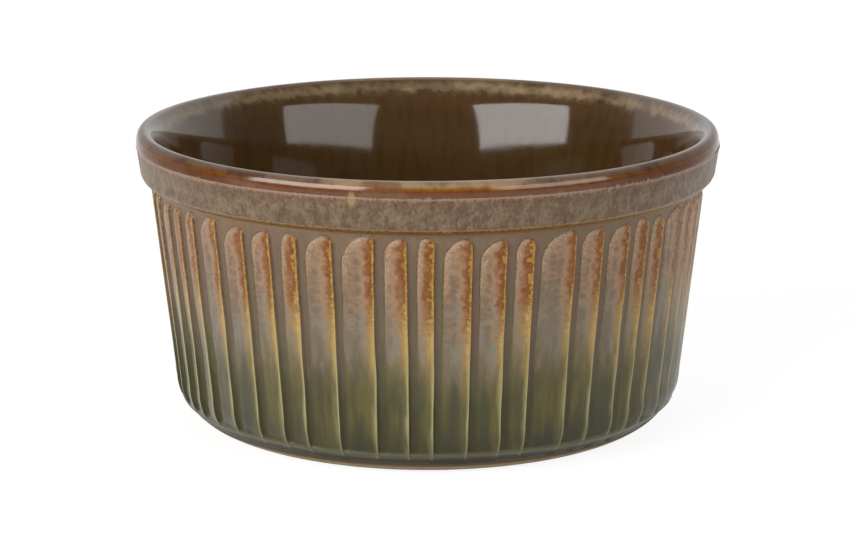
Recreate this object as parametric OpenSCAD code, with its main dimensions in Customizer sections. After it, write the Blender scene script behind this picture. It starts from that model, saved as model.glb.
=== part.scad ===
// Creme brulee dish: a fluted stoneware ramekin and the coats of glaze fused to it.
// Millimetres, +Z up, origin on the table at the centre of the foot.

/* [Overall size] */
// Widest diameter, over the glaze of the collar
rim_d = 90; // [82:1:130]
// Full height, from the table to the crest of the lip
dish_h = 45.5; // [38:0.5:70]

/* [Collar and lip] */
// Height of the collar, from its underside to the crest of the lip
collar_h = 7.8; // [6:0.1:11]
// How far the collar stands out past the ridges of the flutes
collar_overhang = 2.1; // [1.5:0.1:3]
// How far the collar's face leans in at its lower edge
collar_draft = 0.5; // [0:0.1:1]
// Radius of the collar's lower edge
collar_edge_r = 1.5; // [0.6:0.1:1.6]
// Width of the lip, from the collar's face to the inside of the wall
lip_w = 4.6; // [4.2:0.1:7]
// Width of the round on the outer side of the lip
lip_outer_w = 1.4; // [0.8:0.1:2]
// Height of the round on the outer side of the lip
lip_outer_h = 2.3; // [1:0.1:3]
// Height of the round on the inner side of the lip
lip_inner_h = 2.6; // [1:0.1:4]

/* [Wall and floor] */
// How far the wall draws in from the collar down to the base corner
wall_draft = 3.2; // [1:0.1:8]
// Thickness of the wall at the base corner, over the ribs and the glaze
wall_t = 4.6; // [2.8:0.1:6]
// Thickness of the floor over the foot recess, with its glaze
floor_t = 3.8; // [2.4:0.1:6]
// Radius between the floor and the inside of the wall
floor_corner_r = 5; // [2:0.5:8]

/* [Foot] */
// How far the base corner draws in from the wall to the foot
base_corner_w = 5.8; // [3:0.1:9]
// Height of the base corner
base_corner_h = 8.1; // [5:0.1:12]
// Width of the ring that the dish stands on
foot_ring_w = 3.2; // [2:0.1:6]
// Depth of the recess inside the ring
foot_recess_h = 0.8; // [0.4:0.1:1.4]
// Height of the bare clay below the glaze
bare_foot_h = 2.2; // [1:0.1:2.6]

/* [Flutes] */
// Width of the plain strip between two ribs, over the glaze
groove_w = 1.6; // [1:0.1:2.2]
// Height of a rib along its right side, seen from outside
ridge_rise = 0.55; // [0.3:0.05:0.8]
// Height of a rib along its left side
shoulder_rise = 0.15; // [0.05:0.05:0.25]
// Plain band between the collar and the tops of the ribs, over the glaze
neck_band_h = 1; // [0.6:0.1:4]
// Height above the table at which the ribs end
rib_foot_h = 3.6; // [3.4:0.1:5]

/* [Glaze] */
// Thickness of each coat of glaze
glaze_t = 0.4; // [0.2:0.05:0.6]
// Height at which the green coat gives way to the brown one
green_top_h = 19.4; // [14:0.1:28]

/* [Hidden] */

// Widths of neighbouring flutes as cut by hand, as shares of the mean, for half a turn
flute_pitch_shares = [
    0.84, 0.90, 1.16, 1.15, 1.00, 0.89, 1.14, 1.23, 0.99, 0.78, 1.10, 1.03, 0.84, 1.36,
    0.98, 1.06, 0.84, 0.84, 1.11, 0.95, 0.98, 0.90, 1.02, 0.92, 1.05, 0.94, 1.00
];
// How often that row is repeated round the dish
flute_rows = 2;
// Angle from the front to the start of the first flute, seen from above
first_flute_angle = -64.8;
// Radius of the arch on top of a rib, as a share of the rib's width
arch_r_share = 0.7;
// Depth to which a rib is rooted in the wall, as a share of the wall's thickness
rib_root_share = 0.25;
// Straight pieces in each round of the section and in each arch
arc_steps = 10;
arch_steps = 8;
// Length by which one solid passes another in a cut or a joint
overrun = 1;

// Radii and heights of the bare clay
rim_r = rim_d / 2 - glaze_t;
crest_r = rim_d / 2 - lip_outer_w;
crest_z = dish_h - glaze_t;
break_z = dish_h - lip_outer_h;
collar_z = dish_h - collar_h + glaze_t;
collar_low_r = rim_r - collar_draft;
wall_top_r = rim_r - collar_overhang - ridge_rise;
wall_low_r = wall_top_r - wall_draft;
wall_mid_r = (wall_top_r + wall_low_r) / 2;
foot_r = wall_low_r - base_corner_w;
foot_inner_r = foot_r - foot_ring_w;
floor_z = foot_recess_h + floor_t - glaze_t;
bore_top_r = rim_d / 2 - lip_w + glaze_t;
bore_low_r = wall_low_r + ridge_rise + 2 * glaze_t - wall_t;
bore_corner_r = floor_corner_r + glaze_t;
rib_top_z = collar_z - 2 * glaze_t - neck_band_h;
rib_root = wall_t * rib_root_share;
// The collar's lower edge stays clear of the wall under it
edge_r = min(collar_edge_r, collar_low_r - wall_top_r - 2 * glaze_t);

// Angles and widths of the flutes: each starts where the shares before it end
flute_count = len(flute_pitch_shares) * flute_rows;
function share(i) = flute_pitch_shares[i % len(flute_pitch_shares)];
function share_sum(i) = i < 0 ? 0 : share(i) + share_sum(i - 1);
mean_pitch = 360 / share_sum(flute_count - 1);
function mid_angle(i) = first_flute_angle - 90 + (share_sum(i - 1) + share(i) / 2) * mean_pitch;
function rib_w(i) = 2 * wall_top_r * sin(share(i) * mean_pitch / 2) - groove_w - 2 * glaze_t;

// Points of an arc with its own radius along each axis
function arc(centre, rx, rz, from, to, steps = arc_steps) = [
    for (i = [0:steps])
        let (a = from + (to - from) * i / steps)
            [centre[0] + rx * cos(a), centre[1] + rz * sin(a)]
];
function without_first(points) = [for (i = [1:len(points) - 1]) points[i]];
function reversed(points) = [for (i = [len(points) - 1:-1:0]) points[i]];

// Outside of the dish from the foot up to the glaze break below the lip, with a skin on the clay
function outside_line(skin) = concat(
    arc([foot_r, base_corner_h], base_corner_w + skin, base_corner_h + skin, -90, 0),
    [[wall_top_r + skin, collar_z - skin]],
    arc([collar_low_r - edge_r, collar_z + edge_r], edge_r + skin, edge_r + skin, -90, 0)
);

// Lip and inside of the dish, from the glaze break over the crest and down to the floor's centre
function inside_line(skin) = concat(
    arc([crest_r, break_z], rim_r - crest_r + skin, crest_z - break_z + skin, 0, 90),
    without_first(arc([crest_r, crest_z - lip_inner_h], crest_r - bore_top_r + skin, lip_inner_h + skin, 90, 180)),
    arc([bore_low_r - bore_corner_r, floor_z + bore_corner_r], bore_corner_r - skin, bore_corner_r - skin, 0, -90),
    [[0, floor_z + skin]]
);

// Underside: the recess and the ring that the dish stands on
function underside_line() = [
    [0, foot_recess_h],
    [foot_inner_r - foot_recess_h, foot_recess_h],
    [foot_inner_r, 0]
];

// Section of a rib, from its root in the wall to its face
function rib_section(rise, foot_z) =
    let (foot_angle = asin((foot_z - base_corner_h) / (base_corner_h + rise)))
        concat(
            arc([foot_r, base_corner_h], base_corner_w + rise, base_corner_h + rise, foot_angle, 0),
            [
                [wall_top_r + rise, rib_top_z + overrun],
                [wall_top_r - rib_root, rib_top_z + overrun],
                [wall_low_r - rib_root, base_corner_h],
                [foot_r + (base_corner_w - rib_root) * cos(foot_angle), foot_z]
            ]
        );

// Outline of a rib seen from outside: straight sides under an arch that peaks right of the middle
module rib_outline(w) {
    arch_r = w * arch_r_share;
    arch_end = acos((w - arch_r) / arch_r);
    polygon(concat(
        [[w / 2, 0], [-w / 2, 0]],
        arc([arch_r - w / 2, rib_top_z - arch_r], arch_r, arch_r, 180, arch_end, arch_steps)
    ));
}

// One rib along +X. Its face is turned about an axis beside the dish's own, so it stands out
// further along its right side, the ridge, than along its left side, the shoulder.
module rib(w, skin) {
    axis_shift = (ridge_rise - shoulder_rise) * wall_mid_r / w;
    reach = sqrt(pow(wall_mid_r, 2) + pow(axis_shift, 2)) - wall_mid_r;
    face_rise = (ridge_rise + shoulder_rise) / 2 + skin;
    sweep = 2 * asin((w / 2 + skin + overrun) / wall_mid_r);
    intersection() {
        translate([0, axis_shift, 0])
            rotate([0, 0, -asin(axis_shift / wall_mid_r) - sweep / 2])
                rotate_extrude(angle = sweep, $fn = 180)
                    translate([reach, 0])
                        polygon(rib_section(face_rise, rib_foot_h - skin));
        translate([0, 0, skin])
            rotate([90, 0, 90])
                linear_extrude(rim_r)
                    rib_outline(w + 2 * skin);
    }
}

module ribs(skin) {
    for (i = [0:flute_count - 1])
        rotate([0, 0, mid_angle(i)])
            rib(rib_w(i), skin);
}

// The fluted outside as a full solid up to the glaze break
module filled_wall(skin) {
    rotate_extrude($fn = 180)
        polygon(concat(outside_line(skin), [[rim_r + skin, break_z], [0, break_z], [0, -skin]]));
    ribs(skin);
}

// Glaze on the outside between two heights, with the clay taken away from behind it
module outside_coat(from_z, to_z) {
    difference() {
        intersection() {
            union() filled_wall(glaze_t);
            translate([0, 0, from_z])
                cylinder(h = to_z - from_z, r = rim_r + overrun, $fn = 180);
        }
        filled_wall(0);
    }
}

// Fired clay: floor, fluted wall, collar, lip and the bare foot ring
module stoneware_body() {
    color([0.66, 0.55, 0.42]) {
        rotate_extrude($fn = 180)
            polygon(concat(underside_line(), outside_line(0), inside_line(0)));
        ribs(0);
    }
}

// Glossy brown glaze inside the dish and over its lip
module liner_glaze() {
    color([0.26, 0.16, 0.09])
        rotate_extrude($fn = 180)
            polygon(concat(inside_line(glaze_t), reversed(inside_line(0))));
}

// Brown glaze on the collar, the neck and the upper part of the flutes
module brown_glaze() {
    color([0.47, 0.36, 0.26])
        outside_coat(green_top_h, break_z);
}

// Green glaze on the lower part of the flutes, down to the bare foot
module green_glaze() {
    color([0.27, 0.28, 0.16])
        outside_coat(bare_foot_h, green_top_h);
}

stoneware_body();
liner_glaze();
brown_glaze();
green_glaze();
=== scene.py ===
"""Looks of the creme brulee dish: a fluted stoneware ramekin under three coats of glaze.

Lengths are in millimetres until a mesh is made. An angle is measured round the dish from the
front, in degrees and to the right, as the dish is seen from above.
"""
import math

import bpy
import numpy as np
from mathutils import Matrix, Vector


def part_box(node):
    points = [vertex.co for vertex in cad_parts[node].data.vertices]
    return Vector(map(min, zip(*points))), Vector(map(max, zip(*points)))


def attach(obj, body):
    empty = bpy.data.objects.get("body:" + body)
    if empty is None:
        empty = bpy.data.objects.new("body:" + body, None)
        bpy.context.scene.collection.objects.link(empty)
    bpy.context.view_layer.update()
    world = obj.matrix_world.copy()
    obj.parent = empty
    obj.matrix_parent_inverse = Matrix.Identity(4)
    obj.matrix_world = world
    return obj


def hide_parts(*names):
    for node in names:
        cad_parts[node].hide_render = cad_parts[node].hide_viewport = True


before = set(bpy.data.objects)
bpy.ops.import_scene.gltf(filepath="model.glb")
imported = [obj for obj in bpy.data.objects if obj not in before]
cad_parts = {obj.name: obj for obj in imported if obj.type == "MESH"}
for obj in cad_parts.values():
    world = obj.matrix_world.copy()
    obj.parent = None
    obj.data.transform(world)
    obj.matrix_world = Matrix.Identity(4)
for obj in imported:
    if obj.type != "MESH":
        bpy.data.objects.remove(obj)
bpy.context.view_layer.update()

MM = 0.001

# Main sizes, taken from the frame
RIM_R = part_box("brown_glaze")[1].x / MM
DISH_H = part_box("liner_glaze")[1].z / MM
GREEN_TOP_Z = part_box("green_glaze")[1].z / MM
GLAZE_END_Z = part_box("green_glaze")[0].z / MM

# Camera
CAMERA_DISTANCE = 450
CAMERA_ELEVATION = 13.4
CAMERA_AIM_Z = 22.7
CAMERA_LENS = 120.9
SENSOR_W = 36
NEAREST_SEEN = 10

# Soft boxes, each with its azimuth from the front to the right, and its power in watts
SOFT_BOXES = {"soft_box_left": (-47.5, 5.5), "soft_box_right": (49, 2.7)}
SOFT_BOX_ELEVATION = 22
SOFT_BOX_DISTANCE = 800
SOFT_BOX_SIZE = (640, 320)
SOFT_BOX_AIM_Z = 30

# World: its strength in front of the dish and behind it, and between which directions it changes:
# 0 is straight to the side, and 1 is straight behind
WORLD_FRONT = 0.22
WORLD_BACK = 0.82
WORLD_EDGE = (0.26, 0.34)

# Floor: its half width, its own grey, and how it shows: how much it is lit and how much it glows
FLOOR_HALF_W = 4000
FLOOR_GREY = 0.62
FLOOR_SHOWN_LIT = 0.25
FLOOR_GLOW = 0.86

# Outside profile at the level of the ridges, over the glaze
FOOT_R = 32.8
BASE_CORNER_W = 6.92
BASE_CORNER_H = 7.9
WALL_TOP_R = 42.98
WALL_TOP_Z = 37.7
COLLAR_LOW_R = 44.5
COLLAR_EDGE_R = 1.8
COLLAR_EDGE_CENTRE = (COLLAR_LOW_R - COLLAR_EDGE_R, WALL_TOP_Z + COLLAR_EDGE_R)
NECK_SET_BACK = 0.08
NECK_FILLET_R = 0.32
BREAK_Z = 43.15
BREAK_BEAD = 0.06
GLAZE_T = 0.4

# Relief of the flutes
RIDGE_RISE = 0.55
SHOULDER_SHARE = 0.42
LOW_SHOULDER_SHARE = 0.2
STRIP_W = 1.62
RIB_TOP_Z = 36.7
RIGHT_ARCH_H = 0.8
ARCH_FULLNESS = 2.1
ARCH_PAST_RIDGE = 0.12
STEEPEST = 2.0
BROAD_RIB_W = 3.6
NARROW_RIB_W = 2.5

# Peak of a rib's arch as a share of its width: on a narrow rib, and how much more on a broad one
PEAK_SHARE = 0.58
BROAD_PEAK_GAIN = 0.3

# How unevenly the flutes were cut. LEAN is a slope, the two sways and TOP_SPREAD are in mm, and
# the ranges are shares of a width. A ridge and a left edge each sway in three waves, whose turns
# are in radians per mm of height.
LEAN = 0.004
RIDGE_SWAY = 0.03
EDGE_SWAY = 0.022
TOP_SPREAD = 0.16
STRIP_SPREAD = (0.9, 1.1)
PEAK_SPREAD = (-0.05, 0.05)
ARCH_H_SHARES = (0.72, 0.92)
RIDGE_TURNS = (0.11, 0.29, 0.62)
EDGE_TURNS = (0.23, 0.7, 1.7)

# Foot: the ribs end in a roll over a sunken band
ROLL_Z = 3.7
ROLL_RISE = 0.16
BAND_DEPTH = 0.22
FOOT_SET_BACK = 0.14
FOOT_BEAD = 0.04
FOOT_RING_W = 3.2
FOOT_RECESS_H = 0.8
CLAY_SET_BACK = 0.33
CLAY_GAP = 0.03

# Lip and inside, over the glaze. The lip's outer round is fuller than an ellipse, whose
# fullness would be 2, and on the inside the bore flares into the crest from FLARE_Z up.
LIP_FULLNESS = 2.8
CREST_R = 43.6
FLARE_Z = 32.5
FLARE_W = 2.8
BORE_LOW_R = 35.0
FLOOR_Z = 4.6
FLOOR_CORNER_R = 5.0

# Widths of neighbouring flutes as shares of the mean, for half a turn
FLUTE_SHARES = (
    0.84, 0.90, 1.16, 1.15, 1.00, 0.89, 1.14, 1.23, 0.99, 0.78, 1.10, 1.03, 0.84, 1.36,
    0.98, 1.06, 0.84, 0.84, 1.11, 0.95, 0.98, 0.90, 1.02, 0.92, 1.05, 0.94, 1.00,
)
FLUTE_ROWS = 2
FIRST_RIDGE_ANGLE = -66.0

# Heights of the rows on the fluted wall, as (start, end, step): close together at the foot and
# at the arches. A row nearer than ROW_GAP to the line between the two coats gives way to it.
WALL_ROWS = ((GLAZE_END_Z, 5.0, 0.17), (5.0, 31.6, 0.7), (31.8, 37.3, 0.16))
ROW_GAP = 0.3

# Columns of the fluted coats, one row of places for each flute: from the ridge on its left,
# over the plain strip, the rib's left edge and its face, to the rib's own ridge
PAST_RIDGE = (0.06, 0.13, 0.22, 0.33, 0.46)
STRIP_STEPS = 2
EDGE_STEPS = (-0.2, -0.1, 0.0, 0.1, 0.22, 0.38)
FACE_STEPS = 7
BEFORE_RIDGE = (-0.55, -0.36, -0.22, -0.12, -0.05, 0.0)

# Points round the dish on the liner and on the clay
LINER_COLUMNS = 480
CLAY_COLUMNS = 360

# How far the colour of a ridge reaches to its left, and to its right
LEFT_REACH = 2.4
RIGHT_REACH = 0.7

# Ends of the distance from a rib's outline that the glaze follows: inside is above 0
MOST_INSIDE = 2.0
MOST_OUTSIDE = -0.8

# White that the gloss lays over a glaze, and the least light of a glaze's own colour
GLOSS_WHITE = 0.026
LEAST_LIGHT = 0.0015

# Marks on the front of the collar, as places across and up: a drip of pale glaze and a ring
DRIP = (-10.7, 42.9)
RING = (2.8, 38.25)


def smooth(value, start, end):
    """0 before start, 1 after end, and an even curve between them."""
    t = np.clip((value - start) / (end - start), 0, 1)
    return t * t * (3 - 2 * t)


def wander(rng, around, along, amplitude, waves, rise):
    """A gentle random wave over the surface that closes round the dish. around is in radians."""
    total = np.zeros(np.broadcast(around, along).shape)
    counts = range(waves[0], waves[1] + 1)
    for count in counts:
        tilt, phase, size = rng.uniform(-rise, rise), rng.uniform(0, math.tau), rng.uniform(0.5, 1)
        total += size * np.sin(count * around + tilt * along + phase)
    return amplitude * total / math.sqrt(len(counts))


def wall_line(z):
    """Radius of the outside at the level of the ridges, from the foot up to the collar."""
    corner_angle = np.arccos(np.clip(1 - z / BASE_CORNER_H, -1, 1))
    corner = FOOT_R + BASE_CORNER_W * np.sin(corner_angle)
    base_r = FOOT_R + BASE_CORNER_W
    wall = base_r + (z - BASE_CORNER_H) * (WALL_TOP_R - base_r) / (WALL_TOP_Z - BASE_CORNER_H)
    return np.where(z < BASE_CORNER_H, corner, wall)


def clay_line(z):
    """Radius of the clay behind the outside coats."""
    return wall_line(z) - RIDGE_RISE - GLAZE_T


def arc(centre, radius_r, radius_z, start, end, steps, fullness=2.0):
    """Points of an arc in the section, from one angle to another, in degrees."""
    angles = np.radians(np.linspace(start, end, steps + 1))
    across, up = (np.sign(v) * abs(v) ** (2 / fullness) for v in (np.cos(angles), np.sin(angles)))
    return np.stack([centre[0] + radius_r * across, centre[1] + radius_z * up], -1)


def line_normals(points):
    """Normals on the right of a section line, which is its outside if the line runs upwards."""
    step = np.gradient(points, axis=0)
    normals = np.stack([step[:, 1], -step[:, 0]], -1)
    return normals / np.linalg.norm(normals, axis=1, keepdims=True)


def turned(radius, z, around):
    """Points at a radius and a height, turned round the dish's axis by an angle in radians."""
    radius, z, around = np.broadcast_arrays(radius, z, around)
    return np.stack([radius * np.sin(around), -radius * np.cos(around), z], -1)


class Flutes:
    """Where the ridges and left edges of the ribs run, cut by hand and so a little uneven."""

    def __init__(self):
        rng = np.random.default_rng(11)
        shares = np.array(FLUTE_SHARES * FLUTE_ROWS)
        self.count = len(shares)
        self.pitch = shares * 360 / shares.sum()
        self.ridge = FIRST_RIDGE_ANGLE + np.cumsum(self.pitch)
        strip = STRIP_W * rng.uniform(*STRIP_SPREAD, self.count)
        self.width = np.radians(self.pitch) * WALL_TOP_R - strip
        self.lean = rng.normal(0, LEAN, self.count)
        self.ridge_sway = rng.normal(0, RIDGE_SWAY, (self.count, 3))
        self.edge_sway = rng.normal(0, EDGE_SWAY, (self.count, 3))
        self.phase = rng.uniform(0, math.tau, (self.count, 3))
        self.seed = rng.uniform(0, 1, self.count)
        self.top = RIB_TOP_Z + rng.normal(0, TOP_SPREAD, self.count)
        self.broad = smooth(self.width, NARROW_RIB_W, BROAD_RIB_W)
        self.peak_share = PEAK_SHARE + BROAD_PEAK_GAIN * self.broad
        self.peak_share += rng.uniform(*PEAK_SPREAD, self.count)
        self.arch_h = self.width * rng.uniform(*ARCH_H_SHARES, self.count)

    def ridge_line(self, i, z):
        """Angle of a ridge at each height, in degrees."""
        turns = z[:, None] * np.array(RIDGE_TURNS) + self.phase[i]
        offset = self.lean[i] * (z - DISH_H / 2) + np.sin(turns) @ self.ridge_sway[i]
        return self.ridge[i] + np.degrees(offset / WALL_TOP_R)

    def edge_line(self, i, z):
        """Angle of a rib's left edge. A rib keeps its width, so the strips narrow downwards."""
        turns = z[:, None] * np.array(EDGE_TURNS) + self.phase[i]
        offset = np.sin(turns) @ self.edge_sway[i]
        return self.ridge_line(i, z) - np.degrees((self.width[i] + offset) / wall_line(z))


def flute_columns(flutes, z):
    """Angles of all columns at each height, and each column's place in its flute, in mm."""
    angles, past_ridge, from_edge, to_ridge, owner = [], [], [], [], []
    to_mm = wall_line(z) * math.pi / 180
    for i in range(flutes.count):
        before = flutes.ridge_line(i - 1, z) - (360 if i == 0 else 0)
        strip_mm = (flutes.edge_line(i, z) - before) * to_mm
        flute_mm = (flutes.ridge_line(i, z) - before) * to_mm
        places = [np.full_like(z, place) for place in PAST_RIDGE]
        start, end = PAST_RIDGE[-1], strip_mm + EDGE_STEPS[0]
        places += [start + (end - start) * k / (STRIP_STEPS + 1) for k in range(1, STRIP_STEPS + 1)]
        places += [strip_mm + place for place in EDGE_STEPS]
        start, end = strip_mm + EDGE_STEPS[-1], flute_mm + BEFORE_RIDGE[0]
        places += [start + (end - start) * k / (FACE_STEPS + 1) for k in range(1, FACE_STEPS + 1)]
        places += [flute_mm + place for place in BEFORE_RIDGE]
        for place in places:
            angles.append(before + place / to_mm)
            past_ridge.append(place)
            from_edge.append(place - strip_mm)
            to_ridge.append(flute_mm - place)
            owner.append(np.full(len(z), i))
    return [np.stack(part, 1) for part in (angles, past_ridge, from_edge, to_ridge, owner)]


def arch_depth(flutes, owner, from_edge, width, z):
    """How far a point lies below the arch on top of its rib, square to the arch's edge."""
    peak = width * flutes.peak_share[owner]
    right_w = width - peak + ARCH_PAST_RIDGE
    left = np.clip((peak - from_edge) / peak, 0, 0.985)
    right = np.clip((from_edge - peak) / right_w, 0, 0.95)
    left_drop = flutes.arch_h[owner] * (1 - np.sqrt(1 - left ** ARCH_FULLNESS))
    right_drop = RIGHT_ARCH_H * (1 - np.sqrt(1 - right ** 2))
    left_slope = flutes.arch_h[owner] * left / np.sqrt(1 - left ** ARCH_FULLNESS) / peak
    right_slope = RIGHT_ARCH_H * right / np.sqrt(1 - right ** 2) / right_w
    slope = np.minimum(np.where(from_edge < peak, left_slope, right_slope), STEEPEST)
    return (flutes.top[owner] - left_drop - right_drop - z) / np.sqrt(1 + slope ** 2)


def wall_heights():
    """Heights of the rows on the fluted wall. One row is the line between the two coats."""
    z = np.concatenate([np.arange(*rows) for rows in WALL_ROWS])
    return np.sort(np.append(z[np.abs(z - GREEN_TOP_Z) > ROW_GAP], GREEN_TOP_Z))


def fluted_wall(flutes, z, rng):
    """Rows of points of the fluted wall, with the values that its glaze follows."""
    angles, past_ridge, from_edge, to_ridge, owner = flute_columns(flutes, z)
    z = z[:, None]
    width = from_edge + to_ridge
    below_arch = arch_depth(flutes, owner, from_edge, width, z)
    below_arch = below_arch + wander(rng, np.radians(angles), z, 0.06, (70, 110), 1.5)
    shoulder = flutes.top[owner] - 0.8 * flutes.arch_h[owner]
    below_shoulder = np.where(from_edge < 0, shoulder - z, below_arch)
    ridge_left = flutes.top[(owner - 1) % flutes.count] - 0.75 - z
    before_top = smooth(ridge_left, -0.3, 0.2)

    # Height over the plain strips, from 0 to 1 at the ridge: a step at the left edge, a
    # slanting face, and a steep fall past the ridge. The step grows soft towards the foot.
    across = np.clip(from_edge / width, 0, 1)
    low = smooth(z, 30, 14)
    share = SHOULDER_SHARE + (LOW_SHOULDER_SHARE - SHOULDER_SHARE) * low
    crisp = share * smooth(from_edge, -0.14, 0.26) + (1 - share) * across ** 1.3
    soft = share * smooth(from_edge, -0.3, 0.9) + (1 - share) * across ** 1.5
    face = np.where(from_edge < -0.3, 0, crisp * (1 - low) + soft * low)
    face = face * (0.93 + 0.07 * smooth(to_ridge, -0.02, 0.14))
    fall = 0.93 * smooth(past_ridge, 0.4 + 0.1 * low, -0.02)
    height = np.maximum(face * smooth(below_shoulder, -0.1, 0.24), fall * before_top)

    # The ribs run out into a roll, and under it the glaze sinks to a bead on the clay
    roll_z = ROLL_Z + 0.1 * np.sin(np.radians(angles) * 7)
    ribbed = smooth(z, roll_z, roll_z + 1.0)
    around = np.radians(angles)
    radius = wall_line(z) - RIDGE_RISE * ribbed * (1 - height) - FOOT_SET_BACK * (1 - ribbed)
    radius = radius + ROLL_RISE * np.exp(-((z - roll_z) / 0.22) ** 2)
    radius = radius - BAND_DEPTH * smooth(z, roll_z - 0.05, roll_z - 0.8)
    radius = radius + FOOT_BEAD * smooth(z, GLAZE_END_Z + 0.5, GLAZE_END_Z + 0.15)
    radius = radius + wander(rng, around, z, 0.04, (3, 16), 0.2)
    radius = radius + wander(rng, around, z, 0.014, (40, 70), 1.0)

    inside = (from_edge >= 0) & (to_ridge >= 0)
    outside = np.maximum(np.minimum(from_edge, below_shoulder), np.minimum(-past_ridge, ridge_left))
    tongue = np.where(inside, np.minimum(from_edge, below_arch), outside)
    past = np.clip(1 - past_ridge / RIGHT_REACH, 0, 1) * before_top
    ridge = np.where(inside, np.clip(1 - to_ridge / LEFT_REACH, 0, 1), past)
    values = {
        "tongue": np.clip(tongue, MOST_OUTSIDE, MOST_INSIDE),
        "ridge": ridge,
        "seed": flutes.seed[owner],
        "broad": flutes.broad[owner],
    }
    return turned(radius, z, around), values, around[-1]


def collar_rows(around, rng):
    """Rows of points of the neck fillet, the collar's underside and its face, up to the break."""
    neck_r = WALL_TOP_R - RIDGE_RISE - NECK_SET_BACK
    fillet_centre = (neck_r + NECK_FILLET_R, WALL_TOP_Z - NECK_FILLET_R)
    fillet = arc(fillet_centre, NECK_FILLET_R, NECK_FILLET_R, 180, 90, 5)
    edge = arc(COLLAR_EDGE_CENTRE, COLLAR_EDGE_R, COLLAR_EDGE_R, -88, 0, 12)
    low_z = np.linspace(COLLAR_EDGE_CENTRE[1], BREAK_Z - 0.6, 10)[1:]
    face_z = np.concatenate([low_z, np.arange(BREAK_Z - 0.48, BREAK_Z + 0.13, 0.12)])
    face_r = np.interp(face_z, [COLLAR_EDGE_CENTRE[1], BREAK_Z], [COLLAR_LOW_R, RIM_R])
    section = np.concatenate([fillet, edge, np.stack([face_r, face_z], -1)])
    normals = line_normals(section)
    radius, z = section[:, :1], section[:, 1:]
    lift = wander(rng, around, z, 0.045, (3, 14), 0.4) + wander(rng, around, z, 0.014, (50, 90), 2.5)
    lift = lift * smooth(z, WALL_TOP_Z - 0.2, WALL_TOP_Z + 1)
    bead_z = BREAK_Z - 0.12 + wander(rng, around, 0 * z, 0.05, (20, 60), 0)
    lift = lift + BREAK_BEAD * np.exp(-((z - bead_z) / 0.18) ** 2)
    return turned(radius + lift * normals[:, :1], z + lift * normals[:, 1:], around)


def mesh_piece(name, points, faces, values=None):
    """A smooth-shaded mesh object, with its values stored at its points."""
    mesh = bpy.data.meshes.new(name)
    mesh.from_pydata((points * MM).tolist(), [], faces)
    for key, value in (values or {}).items():
        layer = mesh.attributes.new(key, "FLOAT", "POINT")
        layer.data.foreach_set("value", value.astype(np.float32).ravel())
    mesh.shade_smooth()
    mesh.set_sharp_from_angle(angle=math.radians(55))
    piece = bpy.data.objects.new(name, mesh)
    bpy.context.scene.collection.objects.link(piece)
    return piece


def ring_faces(rows, columns):
    """Quads between neighbouring rows of points that close round the dish."""
    faces = []
    for row in range(rows - 1):
        a, b = row * columns, (row + 1) * columns
        faces += [(a + k, a + (k + 1) % columns, b + (k + 1) % columns, b + k) for k in range(columns)]
    return faces


def coat(name, front, values, back):
    """A closed coat: rows of its front, then rows on the clay behind it, from top to bottom."""
    rows, columns = len(front) + len(back), front.shape[1]
    points = np.concatenate([front, back]).reshape(-1, 3)
    stored = {
        key: np.concatenate([value, np.repeat(value[-1:], len(back), 0)])
        for key, value in values.items()
    }
    faces = ring_faces(rows, columns)
    last = (rows - 1) * columns
    faces += [(last + k, last + (k + 1) % columns, (k + 1) % columns, k) for k in range(columns)]
    return mesh_piece(name, points, faces, stored)


def fluted_coats():
    """The brown and the green coat, cut from one grid so that no seam shows between them."""
    rng = np.random.default_rng(5)
    z = wall_heights()
    wall, values, top_around = fluted_wall(Flutes(), z, rng)
    collar = collar_rows(top_around, rng)
    points = np.concatenate([wall, collar])
    resting = {"tongue": MOST_OUTSIDE, "ridge": 0.0, "seed": 0.5, "broad": 0.0}
    values = {
        key: np.concatenate([value, np.full(collar.shape[:2], resting[key])])
        for key, value in values.items()
    }
    split = int(np.searchsorted(z, GREEN_TOP_Z - 0.01))

    def around_of(row):
        return np.arctan2(points[row, :, 0], -points[row, :, 1])

    green_z = np.array([GREEN_TOP_Z, 14, 9, 7, 5, 3.6, GLAZE_END_Z])[:, None]
    green = coat(
        "green_glaze_coat",
        points[:split + 1],
        {key: value[:split + 1] for key, value in values.items()},
        turned(clay_line(green_z), green_z, around_of(split)),
    )
    back_edge_r = COLLAR_EDGE_R - GLAZE_T
    collar_back = arc(COLLAR_EDGE_CENTRE, back_edge_r, back_edge_r, 0, -90, 4)
    wall_z = np.array([WALL_TOP_Z + GLAZE_T, 30, GREEN_TOP_Z])
    wall_back = np.stack([clay_line(wall_z), wall_z], -1)
    back = np.concatenate([[[RIM_R - 0.6, BREAK_Z]], collar_back, wall_back])
    brown = coat(
        "brown_glaze_coat",
        points[split:],
        {key: value[split:] for key, value in values.items()},
        turned(back[:, :1], back[:, 1:], around_of(-1)),
    )
    return brown, green


def bore_line(z):
    """Radius of the inside without its flare."""
    return np.interp(z, [FLOOR_Z + FLOOR_CORNER_R, DISH_H], [BORE_LOW_R, CREST_R - FLARE_W])


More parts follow.
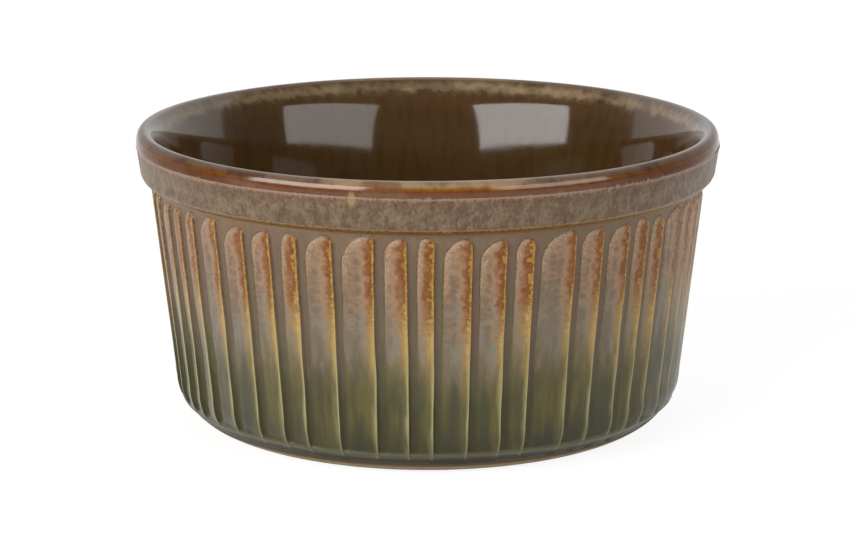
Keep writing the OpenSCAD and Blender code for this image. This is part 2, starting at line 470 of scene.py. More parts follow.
def inside_section():
    """Lip, bore and floor of the liner, from just behind the collar's glaze to near the axis."""
    rim, crest_h = RIM_R - CREST_R, DISH_H - BREAK_Z
    tuck = np.array([RIM_R, BREAK_Z]) - [[0.32, 0.5], [0.16, 0.3], [0.06, 0.1]]
    outer = arc((CREST_R, BREAK_Z), rim, crest_h, 0, 90, 14, LIP_FULLNESS)
    turn = np.radians(np.linspace(86, 0, 20))
    flare_z = FLARE_Z + (DISH_H - FLARE_Z) * np.sin(turn) ** (2 / 3)
    flare = np.stack([bore_line(flare_z) + FLARE_W * (1 - np.cos(turn)), flare_z], -1)
    z = np.linspace(FLARE_Z, FLOOR_Z + FLOOR_CORNER_R, 10)[1:]
    bore = np.stack([bore_line(z), z], -1)
    corner_centre = (BORE_LOW_R - FLOOR_CORNER_R, FLOOR_Z + FLOOR_CORNER_R)
    corner = arc(corner_centre, FLOOR_CORNER_R, FLOOR_CORNER_R, 0, -90, 11)
    floor_r = np.array([26, 21, 16, 11, 7, 4, 2, 0.8])
    floor = np.stack([floor_r, np.full_like(floor_r, FLOOR_Z)], -1)
    return np.concatenate([tuck, outer, flare, bore, corner[1:], floor])


def liner_coat():
    """The glossy coat inside, over the lip and down to just behind the collar's coat."""
    around = np.linspace(-math.pi, math.pi, LINER_COLUMNS, endpoint=False)
    section = inside_section()
    rows = len(section)
    normals = line_normals(section)
    radius, z = section[:, :1], section[:, 1:]
    rng = np.random.default_rng(8)
    lift = wander(rng, around, z, 0.03, (2, 7), 0.02) + wander(rng, around, z, 0.002, (20, 40), 0.3)
    lift = lift * smooth(radius, 0, 12) * smooth(np.arange(rows)[:, None], 1, 6)
    lifted_z = np.minimum(z + lift * normals[:, 1:], DISH_H)
    front = turned(radius + lift * normals[:, :1], lifted_z, around)
    behind = section - GLAZE_T * normals
    back = turned(behind[:, :1], behind[:, 1:], around)
    centres = np.array([[0, 0, FLOOR_Z], [0, 0, FLOOR_Z - GLAZE_T]])
    points = np.concatenate([front.reshape(-1, 3), back.reshape(-1, 3), centres])
    faces = ring_faces(rows, LINER_COLUMNS)
    half = rows * LINER_COLUMNS
    faces += [tuple(half + corner for corner in reversed(face)) for face in faces]
    last = half - LINER_COLUMNS
    for k in range(LINER_COLUMNS):
        after = (k + 1) % LINER_COLUMNS
        faces.append((after, k, half + k, half + after))
        faces.append((last + k, last + after, 2 * half))
        faces.append((half + last + after, half + last + k, 2 * half + 1))
    return mesh_piece("liner_glaze_coat", points, faces)


def clay_body():
    """The fired clay: the bare foot and underside show, and the rest lies behind the glaze."""
    around = np.linspace(-math.pi, math.pi, CLAY_COLUMNS, endpoint=False)
    ring_inner_r = FOOT_R - FOOT_RING_W
    recess_r = np.array([1.0, 12, 22, ring_inner_r - 1.2])
    recess = np.stack([recess_r, np.full_like(recess_r, FOOT_RECESS_H)], -1)
    inner_edge = arc((ring_inner_r + 0.5, 0.5), 0.5, 0.5, 180, 270, 5)
    outer_z = np.concatenate([[0.0, 0.03], np.linspace(0.1, GLAZE_END_Z + 0.3, 14)])
    outer = np.stack([wall_line(outer_z) - CLAY_SET_BACK, outer_z], -1)
    hidden_z = np.array([3.4, 5, 8, 20, WALL_TOP_Z + GLAZE_T])
    hidden = np.stack([clay_line(hidden_z) - CLAY_GAP, hidden_z], -1)
    edge_r = COLLAR_EDGE_R - GLAZE_T - CLAY_GAP
    collar = arc(COLLAR_EDGE_CENTRE, edge_r, edge_r, -90, 0, 4)
    lining = inside_section()[3:]
    lining = lining - (GLAZE_T + CLAY_GAP) * line_normals(lining)
    bare = np.concatenate([recess, inner_edge, outer])
    section = np.concatenate([bare, hidden, collar, lining])
    radius, z = section[:, :1], section[:, 1:]
    rng = np.random.default_rng(3)
    worn = (z > 0.05) & (np.arange(len(section))[:, None] < len(bare))
    chatter = np.where(worn, wander(rng, around, z, 0.03, (3, 30), 1.5), 0)
    points = turned(radius + chatter, z + np.where(z < 1, 0.3 * chatter, 0), around)
    rows = len(section)
    centres = np.array([[0, 0, FOOT_RECESS_H], [0, 0, FLOOR_Z - GLAZE_T - CLAY_GAP]])
    faces = ring_faces(rows, CLAY_COLUMNS)
    count = rows * CLAY_COLUMNS
    last = count - CLAY_COLUMNS
    for k in range(CLAY_COLUMNS):
        after = (k + 1) % CLAY_COLUMNS
        faces.append((after, k, count))
        faces.append((last + k, last + after, count + 1))
    return mesh_piece("clay_body", np.concatenate([points.reshape(-1, 3), centres]), faces)


class Graph:
    """Builds the nodes of one material. A call adds its nodes and gives their output.

    Inputs 0 and 1 of most nodes are their first two values. A Mix node has its two numbers at
    2 and 3, and its two colours at 6 and 7.
    """

    def __init__(self, name):
        self.material = bpy.data.materials.new(name)
        self.material.use_nodes = True
        self.tree = self.material.node_tree
        self.tree.nodes.clear()
        self.place = self.add("ShaderNodeTexCoord", {}, "Object")
        self.x, self.y, self.z = (self.in_mm(axis) for axis in "XYZ")

    def add(self, kind, inputs, output=0, **settings):
        """A node of any kind: each input is the output of another node, or a fixed value."""
        node = self.tree.nodes.new(kind)
        for key, value in settings.items():
            setattr(node, key, value)
        for key, value in inputs.items():
            if isinstance(value, bpy.types.NodeSocket):
                self.tree.links.new(value, node.inputs[key])
            else:
                node.inputs[key].default_value = value
        return node.outputs[output]

    def in_mm(self, axis):
        """The place along an axis, in mm."""
        part = self.add("ShaderNodeSeparateXYZ", {0: self.place}, axis)
        return self.math("MULTIPLY", part, 1 / MM)

    def value(self, name):
        """A value that is stored at the points of the mesh."""
        return self.add("ShaderNodeAttribute", {}, "Fac", attribute_name=name)

    def math(self, operation, a, b=0.0):
        return self.add("ShaderNodeMath", {0: a, 1: b}, operation=operation)

    def times(self, first, *others):
        """All the values multiplied together."""
        for other in others:
            first = self.math("MULTIPLY", first, other)
        return first

    def noise(self, size, stretch=1.0, detail=2.0, rough=0.5, shift=None):
        """Noise with grains of the given size in mm, drawn out upwards by stretch."""
        scale = 1 / (size * MM)
        scales = (scale, scale, scale / stretch)
        place = self.add("ShaderNodeMapping", {"Vector": self.place, "Scale": scales})
        if shift is not None:
            place = self.add("ShaderNodeVectorMath", {0: place, 1: shift}, operation="ADD")
        inputs = {"Vector": place, "Scale": 1.0, "Detail": detail, "Roughness": rough}
        return self.add("ShaderNodeTexNoise", inputs, "Fac")

    def sway(self, noise, amount):
        """The noise turned into a number that swings about zero."""
        return self.times(self.math("SUBTRACT", noise, 0.5), amount)

    def added(self, a, b):
        return self.math("ADD", a, b)

    def between(self, share, a, b):
        """A number between a, at a share of 0, and b, at a share of 1."""
        return self.add("ShaderNodeMix", {"Factor": share, 2: a, 3: b}, data_type="FLOAT")

    def near(self, place, stretch):
        """Distance in mm from a place on the front, measured stretch times shorter upwards."""
        across = self.math("SUBTRACT", self.x, place[0])
        up = self.math("DIVIDE", self.math("SUBTRACT", self.z, place[1]), stretch)
        behind = self.smooth(self.y, -20.0, 0.0, 0.0, 9.0)
        return self.length(across, up, behind)

    def length(self, a, b, c=0.0):
        """Distance from the origin of a point at a, b and c."""
        vector = self.add("ShaderNodeCombineXYZ", {0: a, 1: b, 2: c})
        return self.add("ShaderNodeVectorMath", {0: vector}, "Value", operation="LENGTH")

    def offset(self, value, amount):
        """A step through a noise that takes a value to another part of it."""
        scaled = self.times(value, amount)
        return self.add("ShaderNodeCombineXYZ", {0: scaled, 1: scaled, 2: scaled})

    def smooth(self, value, start, end, low=0.0, high=1.0):
        """low where the value is at start, high at end, and an even curve between them."""
        inputs = {"Value": value, "From Min": start, "From Max": end, "To Min": low, "To Max": high}
        return self.add("ShaderNodeMapRange", inputs, interpolation_type="SMOOTHSTEP")

    def band(self, value, start, full, fading, end):
        """1 between full and fading, and 0 below start and above end."""
        return self.times(self.smooth(value, start, full), self.smooth(value, end, fading))

    def mix(self, share, a, b, blend="MIX"):
        """Colour a at a share of 0, which goes over to b, or to a blend of both, at 1."""
        inputs = {"Factor": share, 6: a, 7: b}
        return self.add("ShaderNodeMix", inputs, 2, data_type="RGBA", blend_type=blend)

    def tint(self, share, colour, red, green, blue):
        """The colour with its red, green and blue multiplied, by a share."""
        return self.mix(share, colour, (red, green, blue, 1.0), "MULTIPLY")

    def ramp(self, value, stops, paint):
        """A colour that follows a value: stops are (value, colour) from low to high."""
        start, end = stops[0][0], stops[-1][0]
        share = self.add("ShaderNodeMapRange", {"Value": value, "From Min": start, "From Max": end})
        node = self.tree.nodes.new("ShaderNodeValToRGB")
        self.tree.links.new(share, node.inputs["Fac"])
        places = node.color_ramp.elements
        while len(places) < len(stops):
            places.new(0.5)
        for element, (at, colour) in zip(places, stops):
            element.position = (at - start) / (end - start)
            element.color = paint(*colour)
        return node.outputs["Color"]

    def bump(self, height, distance):
        """Fine relief: distance is its depth in mm."""
        return self.add("ShaderNodeBump", {"Height": height, "Distance": distance * MM}, "Normal")

    def finish(self, **inputs):
        """The material, with the inputs of its surface."""
        named = {key.replace("_", " "): value for key, value in inputs.items()}
        self.show(self.add("ShaderNodeBsdfPrincipled", named, "BSDF"))
        return self.material

    def show(self, shader):
        out = self.tree.nodes.new("ShaderNodeOutputMaterial")
        self.tree.links.new(shader, out.inputs["Surface"])


def linear(red, green, blue):
    """Light of a colour written as it shows on a screen, from 0 to 255."""
    scaled = [value / 255 for value in (red, green, blue)]
    return [v / 12.92 if v <= 0.04045 else ((v + 0.055) / 1.055) ** 2.4 for v in scaled]


def shade(red, green, blue):
    """A colour that is written as it shows on a screen."""
    return (*linear(red, green, blue), 1.0)


def glazed(red, green, blue):
    """Colour of a glaze that shows as written in the studio, under the white of its gloss."""
    return (*(max(v - GLOSS_WHITE, LEAST_LIGHT) for v in linear(red, green, blue)), 1.0)


# Colours of the outside glaze as they show, by its thickness: 0 on a ridge, and 1 in a pool
UPPER = (
    (0.03, (166, 124, 70)), (0.1, (122, 82, 50)), (0.3, (136, 95, 66)), (0.48, (151, 114, 88)),
    (0.66, (157, 130, 107)), (1.0, (128, 108, 90)),
)
MIDDLE = (
    (0.04, (178, 154, 106)), (0.18, (170, 140, 90)), (0.38, (150, 128, 97)), (0.66, (138, 124, 105)),
    (1.0, (122, 111, 96)),
)
LOWER = (
    (0.03, (166, 158, 114)), (0.1, (128, 121, 86)), (0.24, (102, 97, 70)), (0.5, (90, 86, 62)),
    (1.0, (82, 79, 61)),
)
# Colours of the strips between the ribs by height in mm, as they show
STRIP = (
    (5, (75, 73, 54)), (11, (82, 79, 59)), (16, (100, 93, 75)), (21, (112, 100, 83)),
    (32, (120, 103, 87)), (37, (128, 109, 91)),
)


def rib_thickness(g, level, tongue, reach, broad, own):
    """Thickness of the glaze on a rib: it grows away from the ridge, in blots above and in
    streaks below, and it is thin again along the rib's left edge."""
    bands = g.smooth(g.noise(1.7, 0.5, 2.0, 0.5, own), 0.38, 0.62, -0.11, 0.11)
    mottle = g.smooth(g.noise(1.3, 1.3, 3.0, 0.55, own), 0.36, 0.64, -0.08, 0.08)
    streak = g.smooth(g.noise(0.9, 8.0, 2.0, 0.5, own), 0.36, 0.64, -0.12, 0.12)
    high = g.smooth(level, 18.0, 24.0)
    narrow = g.math("SUBTRACT", 1.0, broad)
    full = g.between(g.times(high, narrow), 2.5, 4.4)
    full = g.added(full, g.smooth(level, 32.0, 35.5, 0.0, 1.1))
    blots = g.between(high, streak, g.added(bands, mottle))
    thick = g.math("DIVIDE", reach, full)
    thick = g.added(thick, g.times(blots, g.smooth(reach, 0.0, 0.7)))

    low = g.smooth(level, 22.0, 16.0)
    thin = g.added(narrow, g.added(g.smooth(level, 29.0, 34.0), low))
    beside = g.between(low, g.smooth(tongue, 0.8, 0.15), g.smooth(tongue, 1.8, 0.2))
    edge = g.times(beside, g.smooth(reach, 0.4, 1.1), g.math("MINIMUM", thin, 1.0))
    return g.between(edge, thick, g.between(low, 0.64, 0.42))


def rib_colour(g, level, tongue, reach, broad, own):
    """Faces of the ribs: rust along the ridge and tan beside it above, olive green below."""
    grit = g.noise(0.55, 0.9, 3.0, 0.6, own)
    grain = g.noise(0.34, 1.1, 3.0, 0.6, own)
    high = g.smooth(level, 18.0, 24.0)
    thick = rib_thickness(g, level, tongue, reach, broad, own)
    upper, middle, lower = (g.ramp(thick, stops, glazed) for stops in (UPPER, MIDDLE, LOWER))
    colour = g.mix(g.smooth(level, 28.5, 20.5), upper, middle)
    colour = g.mix(g.smooth(level, 22.0, 11.0), colour, lower)

    # Streaks of olive yellow and of grey below, darker towards the foot, and a grey haze where brown
    # meets green: partly the glaze's own, partly painted sheen
    vein = g.noise(2.0, 8.0, 2.0, 0.5, own)
    deep = g.smooth(level, 22.0, 12.0)
    away = g.smooth(reach, 0.3, 0.8)
    colour = g.mix(g.times(g.smooth(vein, 0.5, 0.66), deep, away, 0.6), colour, glazed(110, 103, 67))
    colour = g.mix(g.times(g.smooth(vein, 0.5, 0.34), deep, away, 0.6), colour, glazed(79, 80, 65))
    colour = g.tint(g.smooth(g.z, 10.0, 4.0), colour, 0.61, 0.62, 0.67)
    haze_and_sheen = g.times(g.band(level, 15.0, 19.0, 25.0, 30.0), g.smooth(g.noise(1.5, 3.0, 2.0), 0.48, 0.64))
    haze_and_sheen = g.times(haze_and_sheen, g.smooth(thick, 0.35, 0.55), 0.6)
    colour = g.mix(haze_and_sheen, colour, glazed(134, 129, 117))

    # Pits and bright grains in the rust, and a fainter grain on the rest
    rusty = g.times(g.smooth(thick, 0.5, 0.2), high)
    colour = g.tint(g.times(rusty, g.smooth(grit, 0.48, 0.36), 0.6), colour, 0.76, 0.68, 0.6)
    colour = g.tint(g.times(rusty, g.smooth(grit, 0.58, 0.7), 0.6), colour, 1.24, 1.22, 1.1)
    colour = g.tint(g.times(g.smooth(grit, 0.5, 0.36), high, 0.6), colour, 0.84, 0.81, 0.78)
    colour = g.tint(g.times(g.smooth(grain, 0.54, 0.66), high, 0.6), colour, 1.14, 1.14, 1.14)

    # A crust of pale and dark grains inside the arch and down the rib's left side
    inward = g.added(tongue, g.sway(grit, 1.2))
    crust = g.times(g.smooth(inward, 1.1, 0.6), g.smooth(level, 27.0, 33.0), g.smooth(reach, 0.9, 1.5))
    colour = g.mix(g.times(crust, 0.6), colour, glazed(164, 138, 114))
    colour = g.mix(g.times(g.smooth(grain, 0.54, 0.66), crust, 0.6), colour, glazed(190, 164, 140))
    colour = g.mix(g.times(g.smooth(grain, 0.45, 0.35), crust, 0.6), colour, glazed(114, 88, 66))

    # Golden grains break out along the ridge, in a thin line above and in blobs below
    gold = g.smooth(g.noise(0.42, 0.9, 2.0, 0.6), 0.5, 0.62)
    from_ridge = g.times(reach, g.smooth(level, 24.0, 31.0, 0.75, 1.7))
    gold = g.times(gold, high, g.smooth(from_ridge, 0.55, 0.15))
    colour = g.mix(g.times(gold, 0.75), colour, glazed(202, 162, 94))

    # A thin pale rim follows the edge of the arch
    rim = g.times(g.band(tongue, -0.04, 0.03, 0.08, 0.2), g.smooth(level, 24.0, 32.0))
    rim = g.times(rim, g.smooth(grain, 0.42, 0.56), 0.6)
    return g.mix(rim, colour, glazed(174, 150, 126))


def flute_colour(g):
    """The fluted wall: brown over green, which melt into each other at a wandering level."""
    tongue, ridge, seed, broad = (g.value(key) for key in ("tongue", "ridge", "seed", "broad"))
    own = g.offset(seed, 37.0)
    reach = g.times(g.math("SUBTRACT", 1.0, ridge), LEFT_REACH)
    level = g.added(g.z, g.sway(g.noise(1.0, 3.0, 3.0, 0.55, own), 6.0))
    level = g.added(level, g.sway(seed, 2.5))

    strip = g.ramp(level, STRIP, glazed)
    strip = g.tint(g.smooth(g.noise(0.5, 9.0, 2.0), 0.38, 0.62), strip, 0.98, 0.93, 1.0)
    strip = g.tint(g.smooth(g.noise(0.9, 5.0, 2.0), 0.42, 0.6), strip, 0.9, 0.93, 0.88)
    hue = g.noise(3.5, 2.5, 2.0, 0.6)
    strip = g.tint(g.smooth(hue, 0.5, 0.66), strip, 0.95, 1.02, 0.88)
    strip = g.tint(g.smooth(hue, 0.5, 0.34), strip, 1.03, 0.94, 0.98)
    # Painted shade and pooled glaze: the strip darkens just past each ridge, at the foot of its fall,
    # in the lower half
    pooled_and_shaded = g.times(g.smooth(ridge, 0.15, 0.8), g.smooth(level, 20.0, 12.0))
    strip = g.tint(pooled_and_shaded, strip, 0.87, 0.88, 0.89)
    # Painted shade and pooled glaze: a thin dark line in the corner just outside each rib's outline,
    # in the upper half
    pooled_and_shaded_corner = g.times(g.band(tongue, -0.3, -0.16, -0.09, -0.02), g.smooth(level, 20.0, 28.0))
    pooled_and_shaded_corner = g.times(pooled_and_shaded_corner, g.smooth(g.noise(0.7, 1.0, 2.0, 0.6), 0.42, 0.58))
    strip = g.tint(pooled_and_shaded_corner, strip, 0.66, 0.6, 0.52)

    # Rust has run from the collar's edge down onto the neck
    grit = g.noise(0.6, 0.7, 3.0, 0.65)
    run = g.smooth(g.added(g.z, g.sway(grit, 0.7)), WALL_TOP_Z - 0.65, WALL_TOP_Z - 0.45, 0.0, 0.75)
    strip = g.mix(run, strip, glazed(138, 109, 76))

    rib = rib_colour(g, level, tongue, reach, broad, own)
    low = g.times(g.smooth(level, 23.0, 16.0), g.smooth(ridge, 0.5, 0.2))
    share = g.between(low, g.smooth(tongue, -0.08, 0.04), g.smooth(tongue, -0.35, 0.7))
    return g.mix(share, strip, rib), level


def break_marks(g, colour, fleck, hairs, start, end):
    """The pale line at the break, which grows from one height to another and whose edge stands
    out in hairs, and the drip of pale glaze across it."""
    line_z = g.added(g.z, g.sway(g.noise(0.4, 4.0, 2.0, 0.6), hairs))
    colour = g.mix(g.smooth(line_z, start, end, 0.0, 0.9), colour, glazed(150, 126, 104))
    from_drip = g.added(g.near(DRIP, 2.0), g.sway(fleck, 0.5))
    return g.mix(g.smooth(from_drip, 0.8, 0.25, 0.0, 0.7), colour, glazed(164, 143, 106))


def collar_colour(g, fleck):
    """The collar: mottled taupe, a rust lower edge and a pale crackled line at the break."""
    patch = g.noise(2.2, 1.1, 4.0, 0.62)
    blot = g.noise(1.1, 2.2, 3.0, 0.62)
    vein = g.math("ABSOLUTE", g.math("SUBTRACT", g.noise(1.4, 1.2, 4.0, 0.65), 0.5))
    colour = g.mix(g.smooth(patch, 0.42, 0.58), glazed(112, 92, 78), glazed(126, 110, 91))
    colour = g.mix(g.smooth(g.z, 40.8, 42.6, 0.0, 0.6), colour, glazed(114, 88, 74))
    colour = g.mix(g.smooth(blot, 0.52, 0.66, 0.0, 0.55), colour, glazed(140, 124, 102))
    colour = g.mix(g.smooth(blot, 0.46, 0.34, 0.0, 0.6), colour, glazed(96, 78, 68))
    colour = g.mix(g.smooth(vein, 0.03, 0.0, 0.0, 0.4), colour, glazed(86, 70, 60))
    colour = g.mix(g.smooth(fleck, 0.56, 0.66, 0.0, 0.55), colour, glazed(84, 66, 55))
    colour = g.mix(g.smooth(fleck, 0.43, 0.32, 0.0, 0.4), colour, glazed(154, 135, 110))

    # Rust along the lower edge, with a bright seam above it
    edge_z = g.added(g.z, g.sway(fleck, 0.5))
    grit = g.noise(0.5, 0.5, 3.0, 0.7)
    rust = g.mix(g.smooth(grit, 0.4, 0.62), glazed(104, 76, 48), glazed(146, 112, 70))
    colour = g.mix(g.smooth(edge_z, WALL_TOP_Z + 0.8, WALL_TOP_Z + 0.66), colour, rust)
    seam = g.band(edge_z, WALL_TOP_Z + 0.6, WALL_TOP_Z + 0.7, WALL_TOP_Z + 0.76, WALL_TOP_Z + 0.88)
    colour = g.mix(g.times(seam, g.smooth(grit, 0.36, 0.5), 0.8), colour, glazed(172, 134, 86))
    colour = break_marks(g, colour, fleck, -1.5, BREAK_Z - 0.45, BREAK_Z - 0.1)
    ring = g.band(g.near(RING, 0.7), 0.15, 0.3, 0.42, 0.6)
    return g.mix(g.times(ring, 0.8), colour, glazed(162, 132, 88))


def reactive_glaze(name):
    """Glaze of the outside, the same over both coats: taupe and rust above, olive green below."""
    g = Graph(name)
    fleck = g.noise(0.42, 1.5, 3.0, 0.65)
    flutes, level = flute_colour(g)
    colour = g.mix(g.smooth(g.z, WALL_TOP_Z - 0.1, WALL_TOP_Z + 0.02), flutes, collar_colour(g, fleck))
    # Painted highlight: a pale line along the roll where the ribs end
    roll_highlight = g.band(g.z, ROLL_Z - 0.35, ROLL_Z - 0.05, ROLL_Z + 0.1, ROLL_Z + 0.6)
    colour = g.mix(g.times(roll_highlight, 0.7), colour, glazed(108, 106, 80))
    # Painted shade under the roll, together with the glaze's darker lower edge: the band below the
    # roll is darkened
    colour = g.mix(g.smooth(g.z, ROLL_Z - 0.1, ROLL_Z - 1.2), colour, glazed(64, 59, 46))
    rough = g.added(g.smooth(level, 14.0, 24.0, 0.24, 0.42), g.sway(fleck, 0.2))
    rough = g.added(rough, g.smooth(g.z, ROLL_Z + 1.0, ROLL_Z - 0.2, 0.0, 0.2))
    relief = g.added(g.times(g.noise(1.1, 1.2, 3.0, 0.55), 0.8), g.times(fleck, 0.25))
    return g.finish(
        Base_Color=colour, Roughness=rough, Normal=g.bump(relief, 0.05),
        IOR=1.5, Specular_IOR_Level=0.28,
    )


# Own colours of the liner by height in mm, from the floor to where the lip begins
LINER = (
    (4, (80, 57, 31)), (34, (72, 51, 26)), (40, (71, 48, 21)), (42.8, (80, 56, 30)),
    (43.4, (100, 78, 52)), (43.8, (138, 117, 90)), (44.3, (146, 124, 97)), (45.2, (104, 84, 62)),
)
# Colours of the lip's outer side as they show, from the break up to the crest
LIP = (
    (43.5, (106, 73, 55)), (43.9, (106, 66, 42)), (44.25, (117, 75, 35)), (44.6, (134, 96, 54)),
    (44.95, (156, 131, 103)),
)


def liner_material():
    """Dark brown gloss that thins to rust and golden brown over the lip."""
    g = Graph("liner_glaze")
    radius = g.length(g.x, g.y)
    mottle = g.noise(1.6, 1.4, 3.0, 0.6)
    streak = g.noise(1.2, 7.0, 3.0, 0.55)
    cloud = g.noise(6.0, 1.0, 3.0)
    fleck = g.noise(0.35, 1.0, 3.0, 0.65)

    inside = g.ramp(g.added(g.z, g.sway(mottle, 2.0)), LINER, shade)
    inside = g.tint(g.smooth(streak, 0.42, 0.66), inside, 0.85, 0.83, 0.79)
    inside = g.tint(g.smooth(fleck, 0.6, 0.75), inside, 1.2, 1.2, 1.2)

    # The pale band under the crest is broken by dark patches, and it is fainter on both sides
    patches = g.times(g.smooth(cloud, 0.44, 0.58), g.smooth(g.z, 42.5, 44.0))
    inside = g.tint(patches, inside, 0.58, 0.56, 0.52)
    on_band = g.smooth(g.z, 42.5, 43.5)
    inside = g.tint(g.times(g.smooth(g.x, -12.0, -22.0), on_band), inside, 0.72, 0.68, 0.62)
    inside = g.tint(g.times(g.smooth(g.x, 22.0, 32.0), on_band), inside, 0.84, 0.79, 0.72)

    # The lip is clouded, darker to the left and right, and speckled
    lip = g.ramp(g.added(g.z, g.sway(mottle, 0.5)), LIP, glazed)
    lip = g.mix(g.smooth(cloud, 0.46, 0.36, 0.0, 0.7), lip, glazed(118, 86, 66))
    aside = g.math("ABSOLUTE", g.x)
    lip = g.tint(g.times(g.smooth(aside, 11.0, 17.0), g.smooth(g.z, 44.4, 44.8)), lip, 0.5, 0.46, 0.52)
    # Painted shade: the lip is darkened on its far left and right sides
    lip = g.tint(g.smooth(aside, 20.0, 34.0), lip, 0.78, 0.69, 0.6)
    lip = g.tint(g.smooth(mottle, 0.5, 0.36), lip, 0.86, 0.8, 0.7)
    lip = g.tint(g.smooth(fleck, 0.58, 0.7), lip, 1.14, 1.16, 1.16)
    lip = break_marks(g, lip, fleck, 1.8, BREAK_Z + 0.08, BREAK_Z - 0.12)

    on_lip = g.smooth(radius, CREST_R - 1.0, CREST_R - 0.2)
    colour = g.mix(on_lip, inside, lip)
    crest = g.band(radius, CREST_R - 0.7, CREST_R - 0.2, CREST_R + 0.1, CREST_R + 0.4)
    colour = g.mix(g.times(crest, 0.8), colour, glazed(108, 86, 68))

    # On the left and right the gloss is fuller inside, and duller on the lip's outer side
    rough = g.added(g.smooth(mottle, 0.3, 0.7, 0.06, 0.09), g.times(on_lip, 0.05))
    within = g.smooth(aside, 29.5, 33.5, 0.28, 0.6)
    without = g.smooth(aside, 24.0, 36.0, 0.36, 0.09)
    gloss = g.between(g.smooth(radius, CREST_R - 0.3, CREST_R + 0.4), within, without)
    return g.finish(
        Base_Color=colour, Roughness=rough, Normal=g.bump(mottle, 0.003),
        IOR=1.58, Specular_IOR_Level=gloss,
    )


def clay_material():
    """Bare fired clay: tan, dry and finely grogged, and stained brown next to the glaze."""
    g = Graph("clay")
    mottle = g.noise(2.4, 1.0, 4.0, 0.6)
    grog = g.noise(0.28, 1.0, 2.0, 0.6)
    colour = g.mix(g.smooth(mottle, 0.3, 0.7), shade(158, 138, 106), shade(184, 164, 132))
    colour = g.mix(g.smooth(grog, 0.62, 0.72, 0.0, 0.7), colour, shade(96, 74, 50))
    colour = g.mix(g.smooth(grog, 0.36, 0.28, 0.0, 0.5), colour, shade(190, 170, 138))
    stain_z = g.added(g.z, g.sway(mottle, 0.4))
    colour = g.mix(g.smooth(stain_z, 1.25, 1.6), colour, shade(98, 80, 50))
    colour = g.mix(g.smooth(stain_z, 1.8, 2.1), colour, shade(60, 52, 38))
    relief = g.added(g.times(mottle, 0.5), grog)
    return g.finish(Base_Color=colour, Roughness=0.85, Normal=g.bump(relief, 0.06), IOR=1.45)


def floor_material():
    """White floor: as bright as the picture's ground, with the dish's shadow on it."""
    g = Graph("floor")
    path = g.tree.nodes.new("ShaderNodeLightPath")
    seen = g.math("MAXIMUM", path.outputs["Is Camera Ray"], path.outputs["Is Glossy Ray"])
    seen = g.math("MAXIMUM", seen, path.outputs["Is Transmission Ray"])
    plain = g.add("ShaderNodeBsdfDiffuse", {"Color": (*[FLOOR_GREY] * 3, 1)}, "BSDF")
    lit = g.add("ShaderNodeBsdfDiffuse", {"Color": (*[FLOOR_SHOWN_LIT] * 3, 1)}, "BSDF")
    glow = g.add("ShaderNodeEmission", {"Color": (1, 1, 1, 1), "Strength": FLOOR_GLOW}, "Emission")
    white = g.add("ShaderNodeAddShader", {0: lit, 1: glow}, "Shader")
    g.show(g.add("ShaderNodeMixShader", {0: seen, 1: plain, 2: white}, "Shader"))
    return g.material


def studio_floor():
    """A wide flat floor at the height of the foot."""
    half = FLOOR_HALF_W * MM
    corners = [(-half, -half, 0.0), (half, -half, 0.0), (half, half, 0.0), (-half, half, 0.0)]
    mesh = bpy.data.meshes.new("floor")
    mesh.from_pydata(corners, [], [(0, 1, 2, 3)])
    mesh.materials.append(floor_material())
    floor = bpy.data.objects.new("floor", mesh)
    bpy.context.scene.collection.objects.link(floor)


def soft_box(name, azimuth, power):
    """A soft box that faces the dish. Azimuth is from the front, to the right."""
    light = bpy.data.lights.new(name, "AREA")
    light.shape = "RECTANGLE"
    light.size, light.size_y = (side * MM for side in SOFT_BOX_SIZE)
    light.energy = power
    box = bpy.data.objects.new(name, light)
    a, e = math.radians(azimuth), math.radians(SOFT_BOX_ELEVATION)
    away = Vector((math.sin(a) * math.cos(e), -math.cos(a) * math.cos(e), math.sin(e)))
    box.location = away * SOFT_BOX_DISTANCE * MM
    aim = Vector((0, 0, SOFT_BOX_AIM_Z)) * MM - box.location
    box.rotation_euler = aim.to_track_quat("-Z", "Y").to_euler()
    box.visible_camera = False
    bpy.context.scene.collection.objects.link(box)


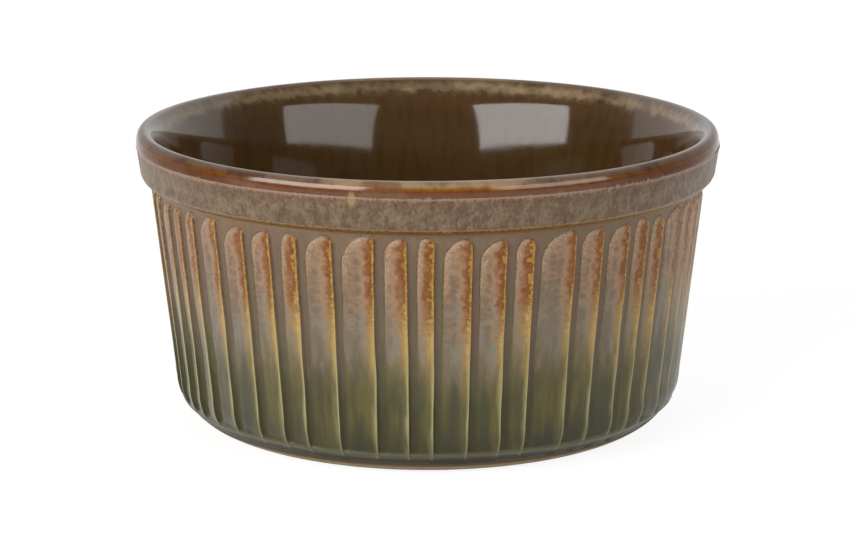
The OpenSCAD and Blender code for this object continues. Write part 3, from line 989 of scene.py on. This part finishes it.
def studio_world():
    """A white backdrop behind the dish and a dimmer room behind the camera."""
    world = bpy.data.worlds.new("studio")
    bpy.context.scene.world = world
    world.use_nodes = True
    tree = world.node_tree
    tree.nodes.clear()
    place = tree.nodes.new("ShaderNodeTexCoord")
    parts = tree.nodes.new("ShaderNodeSeparateXYZ")
    tree.links.new(place.outputs["Generated"], parts.inputs[0])
    span = tree.nodes.new("ShaderNodeMapRange")
    span.interpolation_type = "SMOOTHSTEP"
    tree.links.new(parts.outputs["Y"], span.inputs["Value"])
    span.inputs["From Min"].default_value, span.inputs["From Max"].default_value = WORLD_EDGE
    span.inputs["To Min"].default_value = WORLD_FRONT
    span.inputs["To Max"].default_value = WORLD_BACK
    back = tree.nodes.new("ShaderNodeBackground")
    back.inputs["Color"].default_value = (1, 1, 1, 1)
    tree.links.new(span.outputs[0], back.inputs["Strength"])
    out = tree.nodes.new("ShaderNodeOutputWorld")
    tree.links.new(back.outputs[0], out.inputs["Surface"])


def camera():
    """The camera of the photograph: low in front of the dish, and far off with a long lens."""
    data = bpy.data.cameras.new("camera")
    data.lens, data.sensor_width, data.clip_start = CAMERA_LENS, SENSOR_W, NEAREST_SEEN * MM
    view = bpy.data.objects.new("camera", data)
    e = math.radians(CAMERA_ELEVATION)
    aim = Vector((0, 0, CAMERA_AIM_Z)) * MM
    view.location = aim + Vector((0, -math.cos(e), math.sin(e))) * CAMERA_DISTANCE * MM
    view.rotation_euler = (aim - view.location).to_track_quat("-Z", "Y").to_euler()
    bpy.context.scene.collection.objects.link(view)
    bpy.context.scene.camera = view


def dress(piece, material, node):
    """Gives a piece its material, and puts it on the body in place of a node of the frame."""
    piece.data.materials.append(material)
    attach(piece, "root")
    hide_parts(node)


camera()
studio_floor()
studio_world()
for name, (azimuth, power) in SOFT_BOXES.items():
    soft_box(name, azimuth, power)

brown, green = fluted_coats()
dress(brown, reactive_glaze("brown_glaze"), "brown_glaze")
dress(green, reactive_glaze("green_glaze"), "green_glaze")
dress(liner_coat(), liner_material(), "liner_glaze")
dress(clay_body(), clay_material(), "stoneware_body")

bpy.context.scene.view_settings.view_transform = "Standard"
